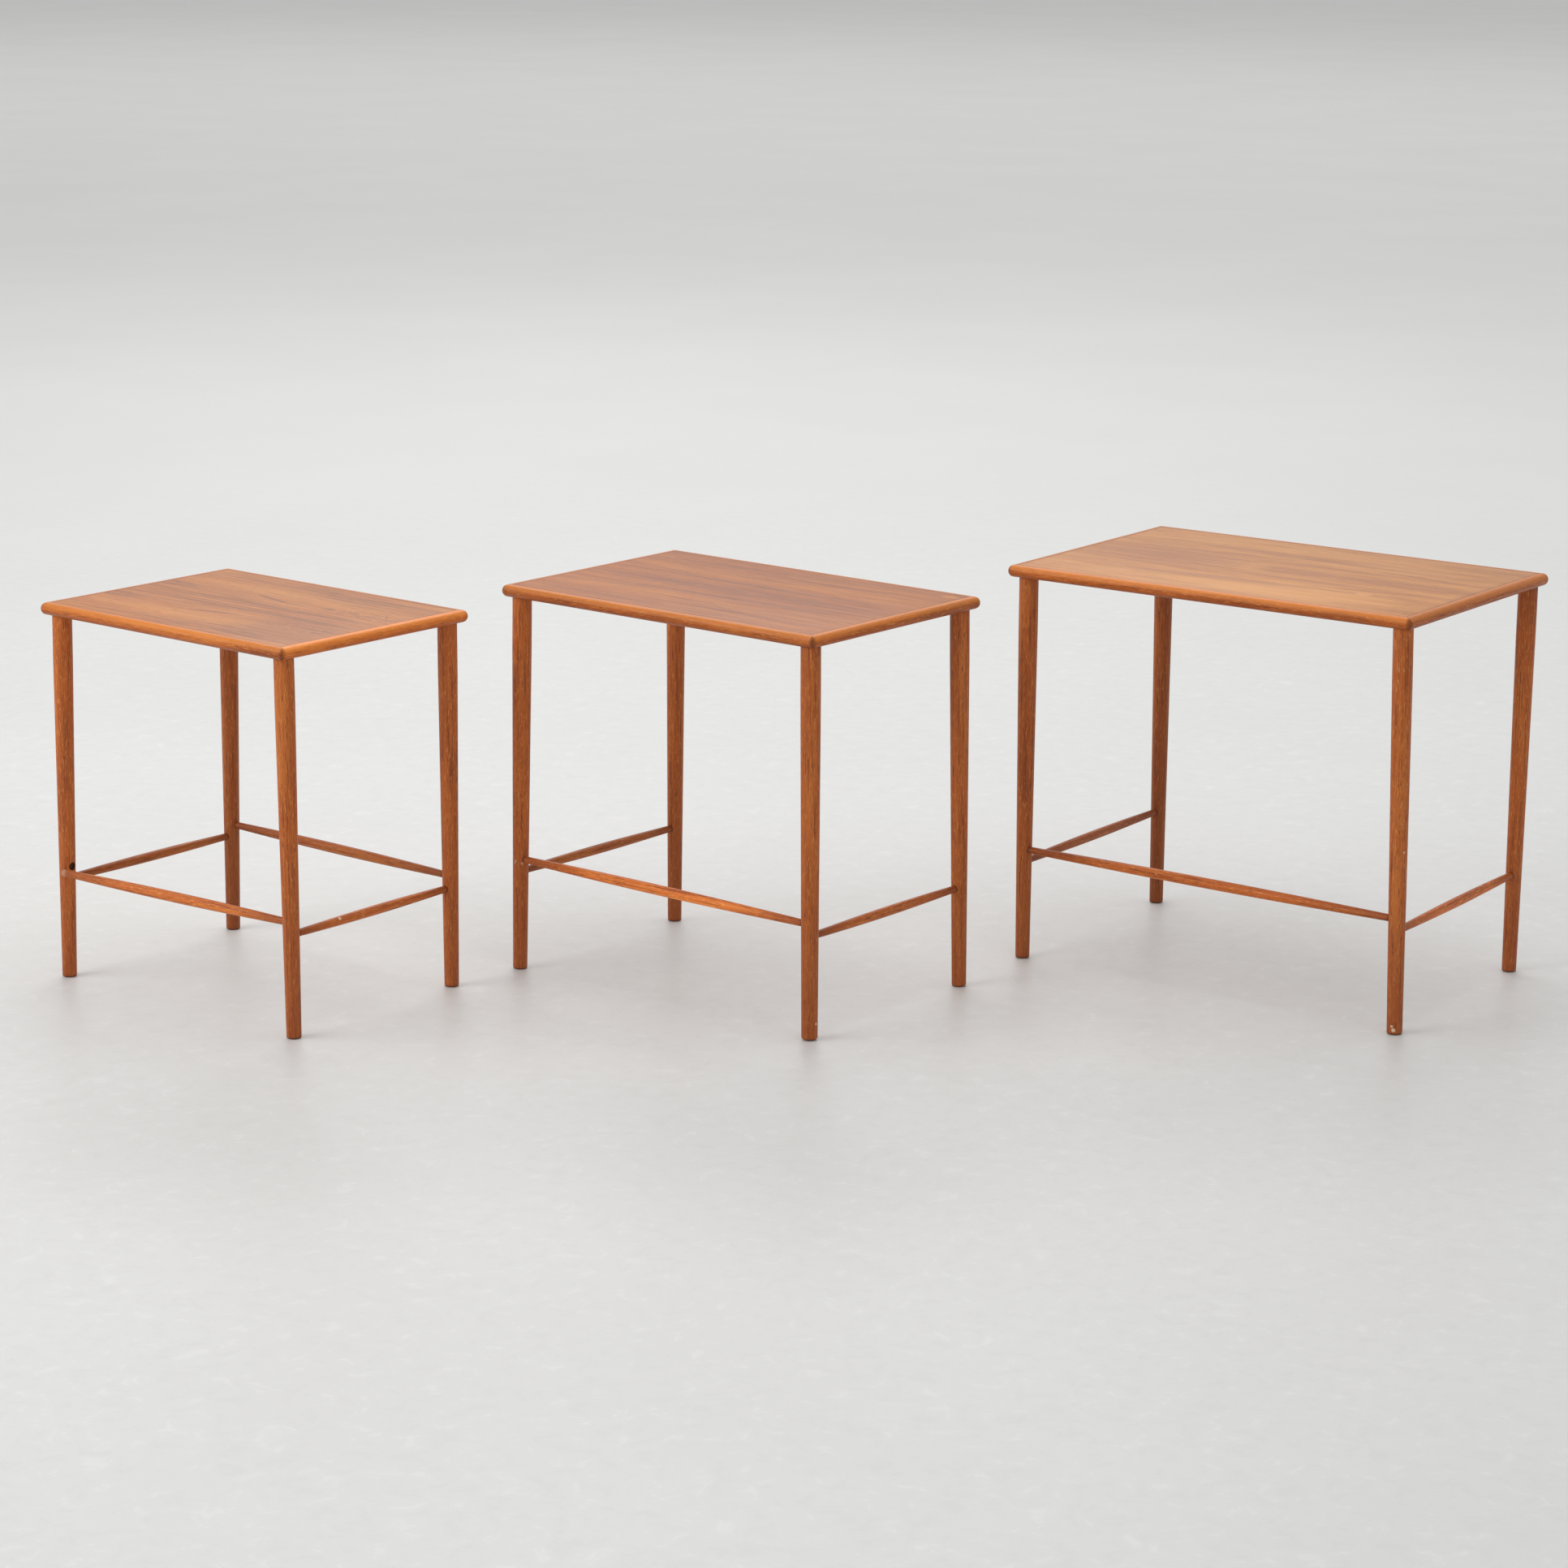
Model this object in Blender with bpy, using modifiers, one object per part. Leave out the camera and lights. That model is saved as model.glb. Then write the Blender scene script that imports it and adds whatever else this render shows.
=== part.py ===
"""A nest of three teak tables, standing apart in a row on the floor.

Each table has a veneered top with half-round solid lippings, four round tapered legs and thin
turned stretchers. The large and the medium table have no back stretcher, so that the next smaller
table can slide in between their legs from the back. One stretcher of the small table has come out
of its left leg. Metres, +Z up. X runs along the large table's long side, +Y towards its open back.
"""

import math

import bmesh
import bpy
from mathutils import Vector

GAP = 0.0003  # clearance between pieces that touch

# Tops
TOP_THICKNESS = 0.015
EDGE_RADIUS = 0.0074  # almost a full half round
EDGE_SEGMENTS = 4
LIPPING_WIDTH = 0.011
VENEER_THICKNESS = 0.0008

# Legs
LEG_INSET = 0.019  # leg's axis to the outer edge of the top
LEG_RADIUS = 0.012
LEG_STEPS = 20
FOOT_RADIUS = 0.0088
FOOT_ROUNDING = 0.0018
TAPER_START = 0.78  # share of the leg's height where the taper begins
TENON_RADIUS = 0.006
TENON_LENGTH = 0.009

# Stretchers
LONG_HEIGHT = 0.141
SHORT_HEIGHT = 0.126
LONG_MIDDLE_RADIUS = 0.0065
SHORT_MIDDLE_RADIUS = 0.0060
END_RADIUS = 0.0042
END_TO_LEG_AXIS = 0.0045  # how close a stretcher's end comes to the leg's axis
SEATED_LENGTH = 0.0058  # straight end that sits inside the leg
END_CHAMFER = 0.0006
STRETCHER_STEPS = 12
SWELL_POINTS = 7
HOLE_SEGMENTS = 16

# The small table's front stretcher: how far its left end has moved out of the leg
LOOSE_FORWARD = 0.0138
LOOSE_DOWN = 0.0063

# name: length, depth, height, centre x, centre y, turn in degrees
TABLES = {
    "large": (0.565, 0.370, 0.510, 0.0, 0.0, 0.0),
    "medium": (0.500, 0.329, 0.493, -0.497, -0.454, -2.9),
    "small": (0.434, 0.313, 0.476, -0.959, -0.830, -3.0),
}
# The signs of x and y of each leg
LEGS = {
    "front_left": (-1, -1),
    "front_right": (1, -1),
    "back_right": (1, 1),
    "back_left": (-1, 1),
}
# The leg where each stretcher starts, and the one where it ends
STRETCHERS = {
    "front": ("front_right", "front_left"),
    "back": ("back_right", "back_left"),
    "left": ("back_left", "front_left"),
    "right": ("back_right", "front_right"),
}
OPEN_BACK = ("large", "medium")
LOOSE = ("small", "front", "front_left")  # table, stretcher, leg that it has left

# The outward direction of each lipping
SIDES = {
    "front": (0, -1),
    "right": (1, 0),
    "back": (0, 1),
    "left": (-1, 0),
}

VENEER_COLOURS = {
    "large": (0.42, 0.20, 0.10),
    "medium": (0.34, 0.13, 0.06),
    "small": (0.36, 0.15, 0.07),
}
SOLID_TEAK = (0.33, 0.11, 0.035)
UNDERSIDE = (0.30, 0.13, 0.06)
CORE_WOOD = (0.55, 0.40, 0.25)


def empty_scene():
    for obj in list(bpy.data.objects):
        bpy.data.objects.remove(obj)


def new_collection(name):
    collection = bpy.data.collections.new(name)
    bpy.context.scene.collection.children.link(collection)
    return collection


def wood(name, colour, roughness):
    material = bpy.data.materials.new(name)
    material.use_nodes = True
    shader = material.node_tree.nodes["Principled BSDF"]
    shader.inputs["Base Color"].default_value = (*colour, 1.0)
    shader.inputs["Roughness"].default_value = roughness
    shader.inputs["Metallic"].default_value = 0.0
    return material


def new_object(name, bm, collection, parent):
    mesh = bpy.data.meshes.new(name)
    bm.to_mesh(mesh)
    bm.free()
    obj = bpy.data.objects.new(name, mesh)
    obj.parent = parent
    collection.objects.link(obj)
    return obj


def finish(obj, colour, roughness=0.45):
    obj.data.materials.append(wood(obj.name, colour, roughness))
    obj.data.shade_smooth()
    obj.data.set_sharp_from_angle(angle=math.radians(35))
    return obj


def box_bmesh(length, depth, low, high):
    bm = bmesh.new()
    bmesh.ops.create_cube(bm, size=1.0)
    bmesh.ops.scale(bm, vec=(length, depth, high - low), verts=bm.verts)
    bmesh.ops.translate(bm, vec=(0, 0, (low + high) / 2), verts=bm.verts)
    return bm


def cutter(name, start, end, radius):
    """A round cutter from start to end, parented to nothing: its points are in its table's frame."""
    start = Vector(start)
    along = Vector(end) - start
    bm = bmesh.new()
    bmesh.ops.create_cone(
        bm, cap_ends=True, segments=HOLE_SEGMENTS, radius1=radius, radius2=radius, depth=along.length
    )
    bmesh.ops.translate(bm, vec=(0, 0, along.length / 2), verts=bm.verts)
    obj = new_object(name, bm, cutters, None)
    obj.location = start
    obj.rotation_mode = "QUATERNION"
    obj.rotation_quaternion = along.to_track_quat("Z", "Y")
    obj.hide_render = True
    obj.display_type = "WIRE"
    return obj


def cut(obj, tool):
    tool.parent = obj.parent
    modifier = obj.modifiers.new(tool.name, "BOOLEAN")
    modifier.operation = "DIFFERENCE"
    modifier.solver = "EXACT"
    modifier.object = tool


def trim(bm, point, outward):
    """Cuts away what lies beyond the plane, and closes the cut."""
    everything = bm.verts[:] + bm.edges[:] + bm.faces[:]
    found = bmesh.ops.bisect_plane(
        bm, geom=everything, plane_co=point, plane_no=outward, clear_outer=True
    )
    rim = [item for item in found["geom_cut"] if isinstance(item, bmesh.types.BMEdge)]
    bmesh.ops.holes_fill(bm, edges=rim)


def turned(name, profile, steps, parent):
    """A solid of revolution about Z. The profile runs down its outer side, from axis to axis."""
    bm = bmesh.new()
    points = [bm.verts.new((radius, 0, height)) for radius, height in profile]
    for upper, lower in zip(points, points[1:]):
        bm.edges.new((upper, lower))
    obj = new_object(name, bm, parts, parent)
    screw = obj.modifiers.new("Screw", "SCREW")
    screw.steps = steps
    screw.render_steps = steps
    screw.use_merge_vertices = True
    screw.merge_threshold = 0.00001
    screw.use_smooth_shade = True
    return obj


def leg_place(table, leg):
    length, depth = TABLES[table][:2]
    sign_x, sign_y = LEGS[leg]
    return Vector((sign_x * (length / 2 - LEG_INSET), sign_y * (depth / 2 - LEG_INSET), 0))


def top_core(table, parent):
    length, depth, height = TABLES[table][:3]
    inner = 2 * (LIPPING_WIDTH + GAP)
    skin = VENEER_THICKNESS + GAP
    low = height - TOP_THICKNESS
    bm = box_bmesh(length - inner, depth - inner, low + skin, height - skin)
    core = new_object(f"{table}_top_core", bm, parts, parent)
    bm = box_bmesh(length - inner, depth - inner, low, low + VENEER_THICKNESS)
    under = new_object(f"{table}_under_veneer", bm, parts, parent)
    bm = box_bmesh(length - inner, depth - inner, height - VENEER_THICKNESS, height)
    veneer = new_object(f"{table}_top_veneer", bm, parts, parent)
    for leg in LEGS:
        place = leg_place(table, leg)
        bottom = place + Vector((0, 0, low - TENON_LENGTH))
        socket_end = place + Vector((0, 0, low + TENON_LENGTH + GAP))
        for board in (core, under):
            cut(board, cutter(f"{board.name}_{leg}_socket", bottom, socket_end, TENON_RADIUS + GAP))
    finish(core, CORE_WOOD, 0.8)
    finish(under, UNDERSIDE, 0.6)
    finish(veneer, VENEER_COLOURS[table])


def lipping(table, side, parent):
    """One edge strip: a slab with half-round edges, cut back to the strip between two mitres."""
    length, depth, height = TABLES[table][:3]
    bm = box_bmesh(length, depth, height - TOP_THICKNESS, height)
    bmesh.ops.bevel(
        bm, geom=bm.edges[:], offset=EDGE_RADIUS, segments=EDGE_SEGMENTS, profile=0.5, affect="EDGES"
    )
    outward = Vector((*SIDES[side], 0))
    across = Vector((-outward.y, outward.x, 0))
    half = length / 2 if outward.x else depth / 2
    half_run = depth / 2 if outward.x else length / 2
    trim(bm, outward * (half - LIPPING_WIDTH), -outward)
    for end in (1, -1):
        mitre = (across * end - outward).normalized()
        corner = outward * half + across * end * half_run
        trim(bm, corner - mitre * GAP / 2, mitre)
    finish(new_object(f"{table}_{side}_lipping", bm, parts, parent), SOLID_TEAK)


def leg_profile(height):
    """Tenon, shoulder, a straight upper part, then a taper to a foot with a rounded rim."""
    shoulder = height - TOP_THICKNESS - GAP
    taper = shoulder * TAPER_START
    profile = [
        (0, shoulder + TENON_LENGTH),
        (TENON_RADIUS, shoulder + TENON_LENGTH),
        (TENON_RADIUS, shoulder),
        (LEG_RADIUS, shoulder),
        (LEG_RADIUS, taper),
        (FOOT_RADIUS, FOOT_ROUNDING),
    ]
    for angle in (math.radians(45), math.radians(90)):
        radius = FOOT_RADIUS - FOOT_ROUNDING * (1 - math.cos(angle))
        profile.append((radius, FOOT_ROUNDING * (1 - math.sin(angle))))
    profile.append((0, 0))
    return profile


def stretcher_profile(length, middle_radius):
    """A spindle along Z from 0 to length: straight ends, and a swell between them."""
    swell = [SEATED_LENGTH + (length - 2 * SEATED_LENGTH) * i / (SWELL_POINTS + 1)
             for i in range(SWELL_POINTS + 2)]
    profile = [(0, length), (END_RADIUS - END_CHAMFER, length), (END_RADIUS, length - END_CHAMFER)]
    for place in reversed(swell):
        share = (place - SEATED_LENGTH) / (length - 2 * SEATED_LENGTH)
        bulge = max(0.0, math.sin(math.pi * share)) ** 0.85
        profile.append((END_RADIUS + (middle_radius - END_RADIUS) * bulge, place))
    profile += [(END_RADIUS, END_CHAMFER), (END_RADIUS - END_CHAMFER, 0), (0, 0)]
    return profile


def stretcher_line(table, side):
    """Both ends of a stretcher, in its table's frame, as it lies."""
    first, last = STRETCHERS[side]
    level = Vector((0, 0, LONG_HEIGHT if side in ("front", "back") else SHORT_HEIGHT))
    start = leg_place(table, first) + level
    end = leg_place(table, last) + level
    along = (end - start).normalized()
    start += along * END_TO_LEG_AXIS
    end -= along * END_TO_LEG_AXIS
    if (table, side) == LOOSE[:2]:
        length = (end - start).length
        moved = Vector((0, -LOOSE_FORWARD, -LOOSE_DOWN))
        end = start + (along * math.sqrt(length**2 - moved.length_squared)) + moved
    return start, end


def add_table(table):
    length, depth, height, place_x, place_y, turn = TABLES[table]
    parent = bpy.data.objects.new(f"{table}_table", None)
    parent.location = Vector((place_x, place_y, 0)) - row_centre()
    parent.rotation_euler.z = math.radians(turn)
    parts.objects.link(parent)
    top_core(table, parent)
    for side in SIDES:
        lipping(table, side, parent)
    legs = {}
    for leg in LEGS:
        legs[leg] = turned(f"{table}_{leg}_leg", leg_profile(height), LEG_STEPS, parent)
        legs[leg].location = leg_place(table, leg)
    for side in STRETCHERS:
        if side == "back" and table in OPEN_BACK:
            continue
        add_stretcher(table, side, legs, parent)
    for leg in legs.values():
        finish(leg, SOLID_TEAK)


def add_stretcher(table, side, legs, parent):
    start, end = stretcher_line(table, side)
    along = (end - start).normalized()
    long_side = side in ("front", "back")
    middle = LONG_MIDDLE_RADIUS if long_side else SHORT_MIDDLE_RADIUS
    profile = stretcher_profile((end - start).length, middle)
    spindle = turned(f"{table}_{side}_stretcher", profile, STRETCHER_STEPS, parent)
    spindle.location = start
    spindle.rotation_mode = "QUATERNION"
    spindle.rotation_quaternion = along.to_track_quat("Z", "Y")
    finish(spindle, SOLID_TEAK)
    reach = along * 2 * LEG_RADIUS
    first, last = STRETCHERS[side]
    tool = cutter(f"{spindle.name}_first_hole", start - along * GAP, start + reach, END_RADIUS + GAP)
    cut(legs[first], tool)
    if (table, side) == LOOSE[:2]:
        # the empty hole stays where the stretcher belongs
        level = Vector((0, 0, LONG_HEIGHT))
        inward = (leg_place(table, first) - leg_place(table, last)).normalized()
        end = leg_place(table, last) + level + inward * END_TO_LEG_AXIS
        along = -inward
        reach = along * 2 * LEG_RADIUS
    tool = cutter(f"{spindle.name}_last_hole", end + along * GAP, end - reach, END_RADIUS + GAP)
    cut(legs[last], tool)


def reach_of(table):
    """Half the room that a turned top takes along X and along Y."""
    length, depth = TABLES[table][:2]
    angle = math.radians(abs(TABLES[table][5]))
    straight_x = length / 2 - EDGE_RADIUS
    straight_y = depth / 2 - EDGE_RADIUS
    half_x = straight_x * math.cos(angle) + straight_y * math.sin(angle) + EDGE_RADIUS
    half_y = straight_x * math.sin(angle) + straight_y * math.cos(angle) + EDGE_RADIUS
    return half_x, half_y


def row_centre():
    """The middle of the room that all tables take, which is the model's origin."""
    low = [min(TABLES[t][3 + i] - reach_of(t)[i] for t in TABLES) for i in (0, 1)]
    high = [max(TABLES[t][3 + i] + reach_of(t)[i] for t in TABLES) for i in (0, 1)]
    return Vector(((low[0] + high[0]) / 2, (low[1] + high[1]) / 2, 0))


empty_scene()
parts = new_collection("nesting_tables")
cutters = new_collection("cutters")
for table_name in TABLES:
    add_table(table_name)
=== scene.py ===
"""The looks of three teak nesting tables: veneered tops, half-round lippings, tapered legs and spindles.

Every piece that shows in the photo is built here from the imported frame's places, in metres, and rides
on the body of its table. The wood is procedural, with the grain along each piece's own length.
"""

import math

import bmesh
import bpy
from mathutils import Matrix, Vector


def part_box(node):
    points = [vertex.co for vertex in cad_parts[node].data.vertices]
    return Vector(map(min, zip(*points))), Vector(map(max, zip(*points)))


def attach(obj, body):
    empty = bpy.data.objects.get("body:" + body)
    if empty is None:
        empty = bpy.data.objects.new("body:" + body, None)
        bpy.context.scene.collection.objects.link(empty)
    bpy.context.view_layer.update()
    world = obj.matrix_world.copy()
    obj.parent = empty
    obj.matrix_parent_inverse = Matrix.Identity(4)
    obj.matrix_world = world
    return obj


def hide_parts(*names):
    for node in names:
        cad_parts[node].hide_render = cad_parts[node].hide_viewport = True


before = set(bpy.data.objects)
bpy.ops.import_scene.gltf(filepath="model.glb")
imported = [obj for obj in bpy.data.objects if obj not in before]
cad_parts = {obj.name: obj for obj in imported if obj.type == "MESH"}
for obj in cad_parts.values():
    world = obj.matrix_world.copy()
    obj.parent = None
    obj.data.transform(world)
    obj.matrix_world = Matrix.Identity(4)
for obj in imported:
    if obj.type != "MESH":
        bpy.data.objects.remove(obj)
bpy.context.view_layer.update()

# The pieces of a table: its legs, the two legs that each stretcher joins, and the way each lipping faces
TABLES = ("large", "medium", "small")
LEGS = ("front_left", "front_right", "back_right", "back_left")
STRETCHERS = {
    "front": ("front_right", "front_left"),
    "back": ("back_right", "back_left"),
    "left": ("back_left", "front_left"),
    "right": ("back_right", "front_right"),
}
SIDES = {"front": (0, -1), "right": (1, 0), "back": (0, 1), "left": (-1, 0)}
LOOSE = "small_front_stretcher"
UP = Vector((0, 0, 1))

# The seeds of one table's pieces start this far from the next table's
SEED_STEP = 40

# Driving dimensions of the tops. Glued pieces have the gap between them.
GAP = 0.0003
TOP_THICKNESS = 0.015
EDGE_RADIUS = 0.0074
LIPPING_WIDTH = 0.011
BLANK_WIDTH = 9 * LIPPING_WIDTH
MITRE_GAP = 0.0001
LEAF_GAP = 0.0002
LEAF_EDGE = 0.0003

# The legs
LEG_INSET = 0.019
LEG_RADIUS = 0.0121
FOOT_RADIUS = 0.0090
FOOT_ROUNDING = 0.0018
TAPER_START = 0.87
TOP_RIM = 0.0005
TOP_BAND = 0.003

# The stretchers. Each front one meets its left leg a little high and forward. Where the small table's
# has come out, the empty hole is a little high.
LONG_HEIGHT = 0.141
SHORT_HEIGHT = 0.126
END_RADIUS = 0.0043
END_TO_LEG_AXIS = 0.0045
END_ROUNDING = 0.0014
STRAIGHT_END = 0.006
LONG_MIDDLE = 0.0065
SHORT_MIDDLE = 0.0060
SWELL_POWER = 0.95
HOLE_RADIUS = 0.0050
HOLE_RAISED = 0.0020
HOLE_FORWARD = 0.0022

# How far the loose stretcher is pushed into its right leg, and where its left end has gone
LOOSE_PUSHED = 0.0045
LOOSE_FORWARD = 0.0126
LOOSE_DOWN = 0.0053

# How finely the meshes are made
LEG_SIDES = 40
LEG_RINGS = 40
STRETCHER_SIDES = 28
STRETCHER_RINGS = 44
HOLE_SIDES = 32
ROUNDING_STEPS = 5
EDGE_STEPS = 12
LEAF_EDGE_STEPS = 3
SHARP_ANGLE = math.radians(40)

# The floor
FLOOR_RADIUS = 45.0
FLOOR_SIDES = 96
FLOOR_DROP = 0.0004

# Feet that differ from the others: radius and rounding
FEET = {
    "large_front_right_leg": (0.0094, 0.0018),
    "medium_front_right_leg": (0.0098, 0.0036),
}

# How the legs have moved with use, in their table's frame, in millimetres:
# top along x, then foot along x and along y
LEANS = {
    "large": {
        "front_left": (3.3, 2.4, 1.0),
        "front_right": (0.2, 8.8, -1.0),
        "back_right": (-1.3, -1.0, -8.0),
        "back_left": (0.7, 1.0, 0.0),
    },
    "medium": {
        "front_left": (1.3, -3.6, -5.0),
        "front_right": (0.3, 2.5, -1.0),
        "back_right": (-1.4, 4.4, 1.0),
        "back_left": (0.8, -0.9, -2.0),
    },
    "small": {
        "front_left": (2.7, 0.0, -5.0),
        "front_right": (1.1, 5.7, -1.0),
        "back_right": (-2.1, -1.6, -1.0),
        "back_left": (1.4, -4.8, 0.0),
    },
}

# Soft studio lights: place, the point each one faces, size in metres and power in watts
SKY_COLOUR = (0.99, 0.995, 1.0, 1.0)
SKY_STRENGTH = 0.60
LIGHTS = {
    "key": ((-2.1, -3.1, 2.6), (0, 0, 0.3), (2.8, 2.0), 58.0),
    "overhead": ((-0.6, 0.8, 3.4), (-0.6, 0.8, 0), (3.4, 2.4), 28.0),
    "rear": ((-3.4, 3.8, 4.4), (-2.8, 2.9, 0), (3.6, 2.0), 74.0),
    "distance": ((-9.5, 12.9, 7.0), (-9.5, 12.9, 0), (16.0, 12.0), 290.0),
}

# Camera, in the frame's coordinates
CAMERA_PLACE = (2.8032, -3.8033, 1.4021)
CAMERA_HEADING = 36.524
CAMERA_PITCH = 11.776
CAMERA_ROLL = 0.257
CAMERA_LENS = 89.56
CAMERA_SHIFT = -0.0859
CAMERA_SENSOR = 36.0
CAMERA_REACH = 100.0


# ---------------------------------------------------------------- shader helpers


class Shader:
    """A material's node tree, with short calls for the nodes that the woods share."""

    def __init__(self, name):
        self.material = bpy.data.materials.new(name)
        self.material.use_nodes = True
        self.tree = self.material.node_tree
        self.surface = self.tree.nodes["Principled BSDF"]

    def node(self, kind, **settings):
        made = self.tree.nodes.new(kind)
        for key, value in settings.items():
            setattr(made, key, value)
        return made

    def put(self, value, socket):
        if isinstance(value, bpy.types.NodeSocket):
            self.tree.links.new(value, socket)
        else:
            socket.default_value = value

    def math(self, operation, first, second=0.0):
        made = self.node("ShaderNodeMath", operation=operation)
        self.put(first, made.inputs[0])
        self.put(second, made.inputs[1])
        return made.outputs[0]

    def vector(self, operation, first, second):
        made = self.node("ShaderNodeVectorMath", operation=operation)
        self.put(first, made.inputs[0])
        self.put(second, made.inputs[1])
        return made.outputs[0]

    def place(self):
        return self.node("ShaderNodeTexCoord").outputs["Object"]

    def split(self, vector):
        made = self.node("ShaderNodeSeparateXYZ")
        self.put(vector, made.inputs[0])
        return made.outputs

    def join(self, x, y, z):
        made = self.node("ShaderNodeCombineXYZ")
        for value, socket in zip((x, y, z), made.inputs):
            self.put(value, socket)
        return made.outputs[0]

    def noise(self, vector, scale, detail=3.0, rough=0.5, distortion=0.0):
        made = self.node("ShaderNodeTexNoise")
        self.put(vector, made.inputs["Vector"])
        made.inputs["Scale"].default_value = scale
        made.inputs["Detail"].default_value = detail
        made.inputs["Roughness"].default_value = rough
        made.inputs["Distortion"].default_value = distortion
        return made.outputs["Fac"]

    def step(self, value, low, high, out_low=0.0, out_high=1.0):
        """value mapped smoothly from low..high to out_low..out_high, clamped."""
        made = self.node("ShaderNodeMapRange", interpolation_type="SMOOTHSTEP")
        self.put(value, made.inputs["Value"])
        made.inputs["From Min"].default_value = low
        made.inputs["From Max"].default_value = high
        made.inputs["To Min"].default_value = out_low
        made.inputs["To Max"].default_value = out_high
        return made.outputs["Result"]

    def blend(self, share, first, second):
        """The first colour turned to the second by the share, each a colour or another node's output."""
        made = self.node("ShaderNodeMix", data_type="RGBA")
        self.put(share, made.inputs["Factor"])
        for value, index in ((first, 6), (second, 7)):
            if isinstance(value, tuple):
                value = (*value, 1.0)
            self.put(value, made.inputs[index])
        return made.outputs[2]

    def distance(self, vector):
        made = self.node("ShaderNodeVectorMath", operation="LENGTH")
        self.put(vector, made.inputs[0])
        return made.outputs["Value"]

    def bump(self, height, strength, distance):
        made = self.node("ShaderNodeBump")
        made.inputs["Strength"].default_value = strength
        made.inputs["Distance"].default_value = distance
        self.put(height, made.inputs["Height"])
        return made.outputs["Normal"]

    def finish(self, colour, roughness, normal):
        self.put(colour, self.surface.inputs["Base Color"])
        self.put(roughness, self.surface.inputs["Roughness"])
        self.put(normal, self.surface.inputs["Normal"])
        return self.material


def grain_space(shader, along, seed):
    """The place in the piece with the grain direction first, moved to a part of the wood of its own."""
    x, y, z = shader.split(shader.place())
    ordered = (x, y, z) if along == "X" else (z, x, y)
    return shader.vector("ADD", shader.join(*ordered), (seed * 1.37, seed * 0.71, seed * 0.53))


def stretched(shader, space, length_share):
    """The grain space squeezed along the grain, so that what is drawn in it comes out long."""
    return shader.vector("MULTIPLY", space, (length_share, 1.0, 1.0))


# ---------------------------------------------------------------- materials

TEAK = (0.40, 0.096, 0.0145)
TEAK_DARK = (0.19, 0.040, 0.009)
TEAK_LIGHT = (0.52, 0.155, 0.028)
# The pores' colour, also used for painted shade at the feet and painted shadow in the stretchers' joints
PORE_AND_SHADE = (0.085, 0.022, 0.008)
FLECK = (0.62, 0.230, 0.055)
END_GRAIN = (0.15, 0.034, 0.012)
WORN = (0.66, 0.36, 0.15)
# The lighter colour painted on the edge strips' upper side as a highlight
PAINTED_TOP_LIGHT = (0.66, 0.215, 0.030)
CHIPPED = (0.80, 0.62, 0.42)
HOLE_DARK = (0.090, 0.028, 0.011)
HOLE_LIGHT = (0.220, 0.070, 0.026)
CORE_WOOD = (0.50, 0.36, 0.22)
UNDER_WOOD = (0.34, 0.15, 0.065)
FLOOR_DARK = (0.738, 0.735, 0.716)
FLOOR_LIGHT = (0.756, 0.755, 0.741)
GRIT_DARK = (0.700, 0.696, 0.672)
GRIT_LIGHT = (0.845, 0.845, 0.835)

# Specular level, and how much glossier than plain oiled teak
SATIN = (0.32, 0.0)
POLISHED = (0.26, 0.06)

# Legs with rubbed, pale spots
LEG_WEAR = {"large_front_right_leg": 0.55, "medium_front_left_leg": 0.25, "medium_front_right_leg": 0.2}

# Pale chips and rubbed spots in a piece's own coordinates: place, radius and strength
CHIPS = {
    # The loose stretcher's entry makes its rounded tip paler
    "small_front_stretcher": [(0.0, 0.0, -0.1935, 0.0090, 0.26)],
    "small_right_stretcher": [(-0.0040, 0.0042, -0.0600, 0.0027, 1.0)],
    "large_front_right_leg": [
        (0.0030, -0.0088, 0.0060, 0.0030, 0.9),
        (0.0010, -0.0092, 0.0105, 0.0022, 0.7),
        (0.0095, -0.0041, 0.2250, 0.0019, 0.6),
    ],
    "medium_front_right_leg": [(0.0098, 0.0002, 0.0205, 0.0019, 0.8)],
    "medium_front_left_leg": [
        (0.0002, -0.0097, 0.1410, 0.0023, 0.34),
        (-0.0008, -0.0096, 0.1385, 0.0018, 0.28),
        (0.0077, -0.0060, 0.1385, 0.0022, 0.34),
    ],
}

# How light each solid piece is beside plain teak: partly the wood's own tone and partly painted light,
# lighter where a piece catches more of the lamps. The others are at 1.
TONES_AND_LIGHT = {
    "large_front_left_leg": 1.12,
    "large_front_right_leg": 1.22,
    "large_back_right_leg": 1.18,
    "large_back_left_leg": 0.84,
    "medium_front_left_leg": 1.28,
    "medium_front_right_leg": 1.18,
    "medium_back_right_leg": 1.16,
    "medium_back_left_leg": 1.10,
    "small_front_left_leg": 1.36,
    "small_front_right_leg": 1.25,
    "small_back_right_leg": 1.26,
    "small_back_left_leg": 0.95,
    "large_front_stretcher": 1.58,
    "large_right_stretcher": 1.62,
    "medium_front_stretcher": 2.0,
    "medium_right_stretcher": 1.24,
    "small_front_stretcher": 1.62,
    "small_right_stretcher": 1.42,
    "large_front_lipping": 1.30,
    "large_right_lipping": 1.12,
    "medium_front_lipping": 1.18,
    "medium_right_lipping": 1.30,
    "small_front_lipping": 1.30,
    "small_right_lipping": 1.65,
}


def toned(colour, share):
    """The colour made lighter or darker by the share."""
    return tuple(c * share for c in colour)


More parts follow.
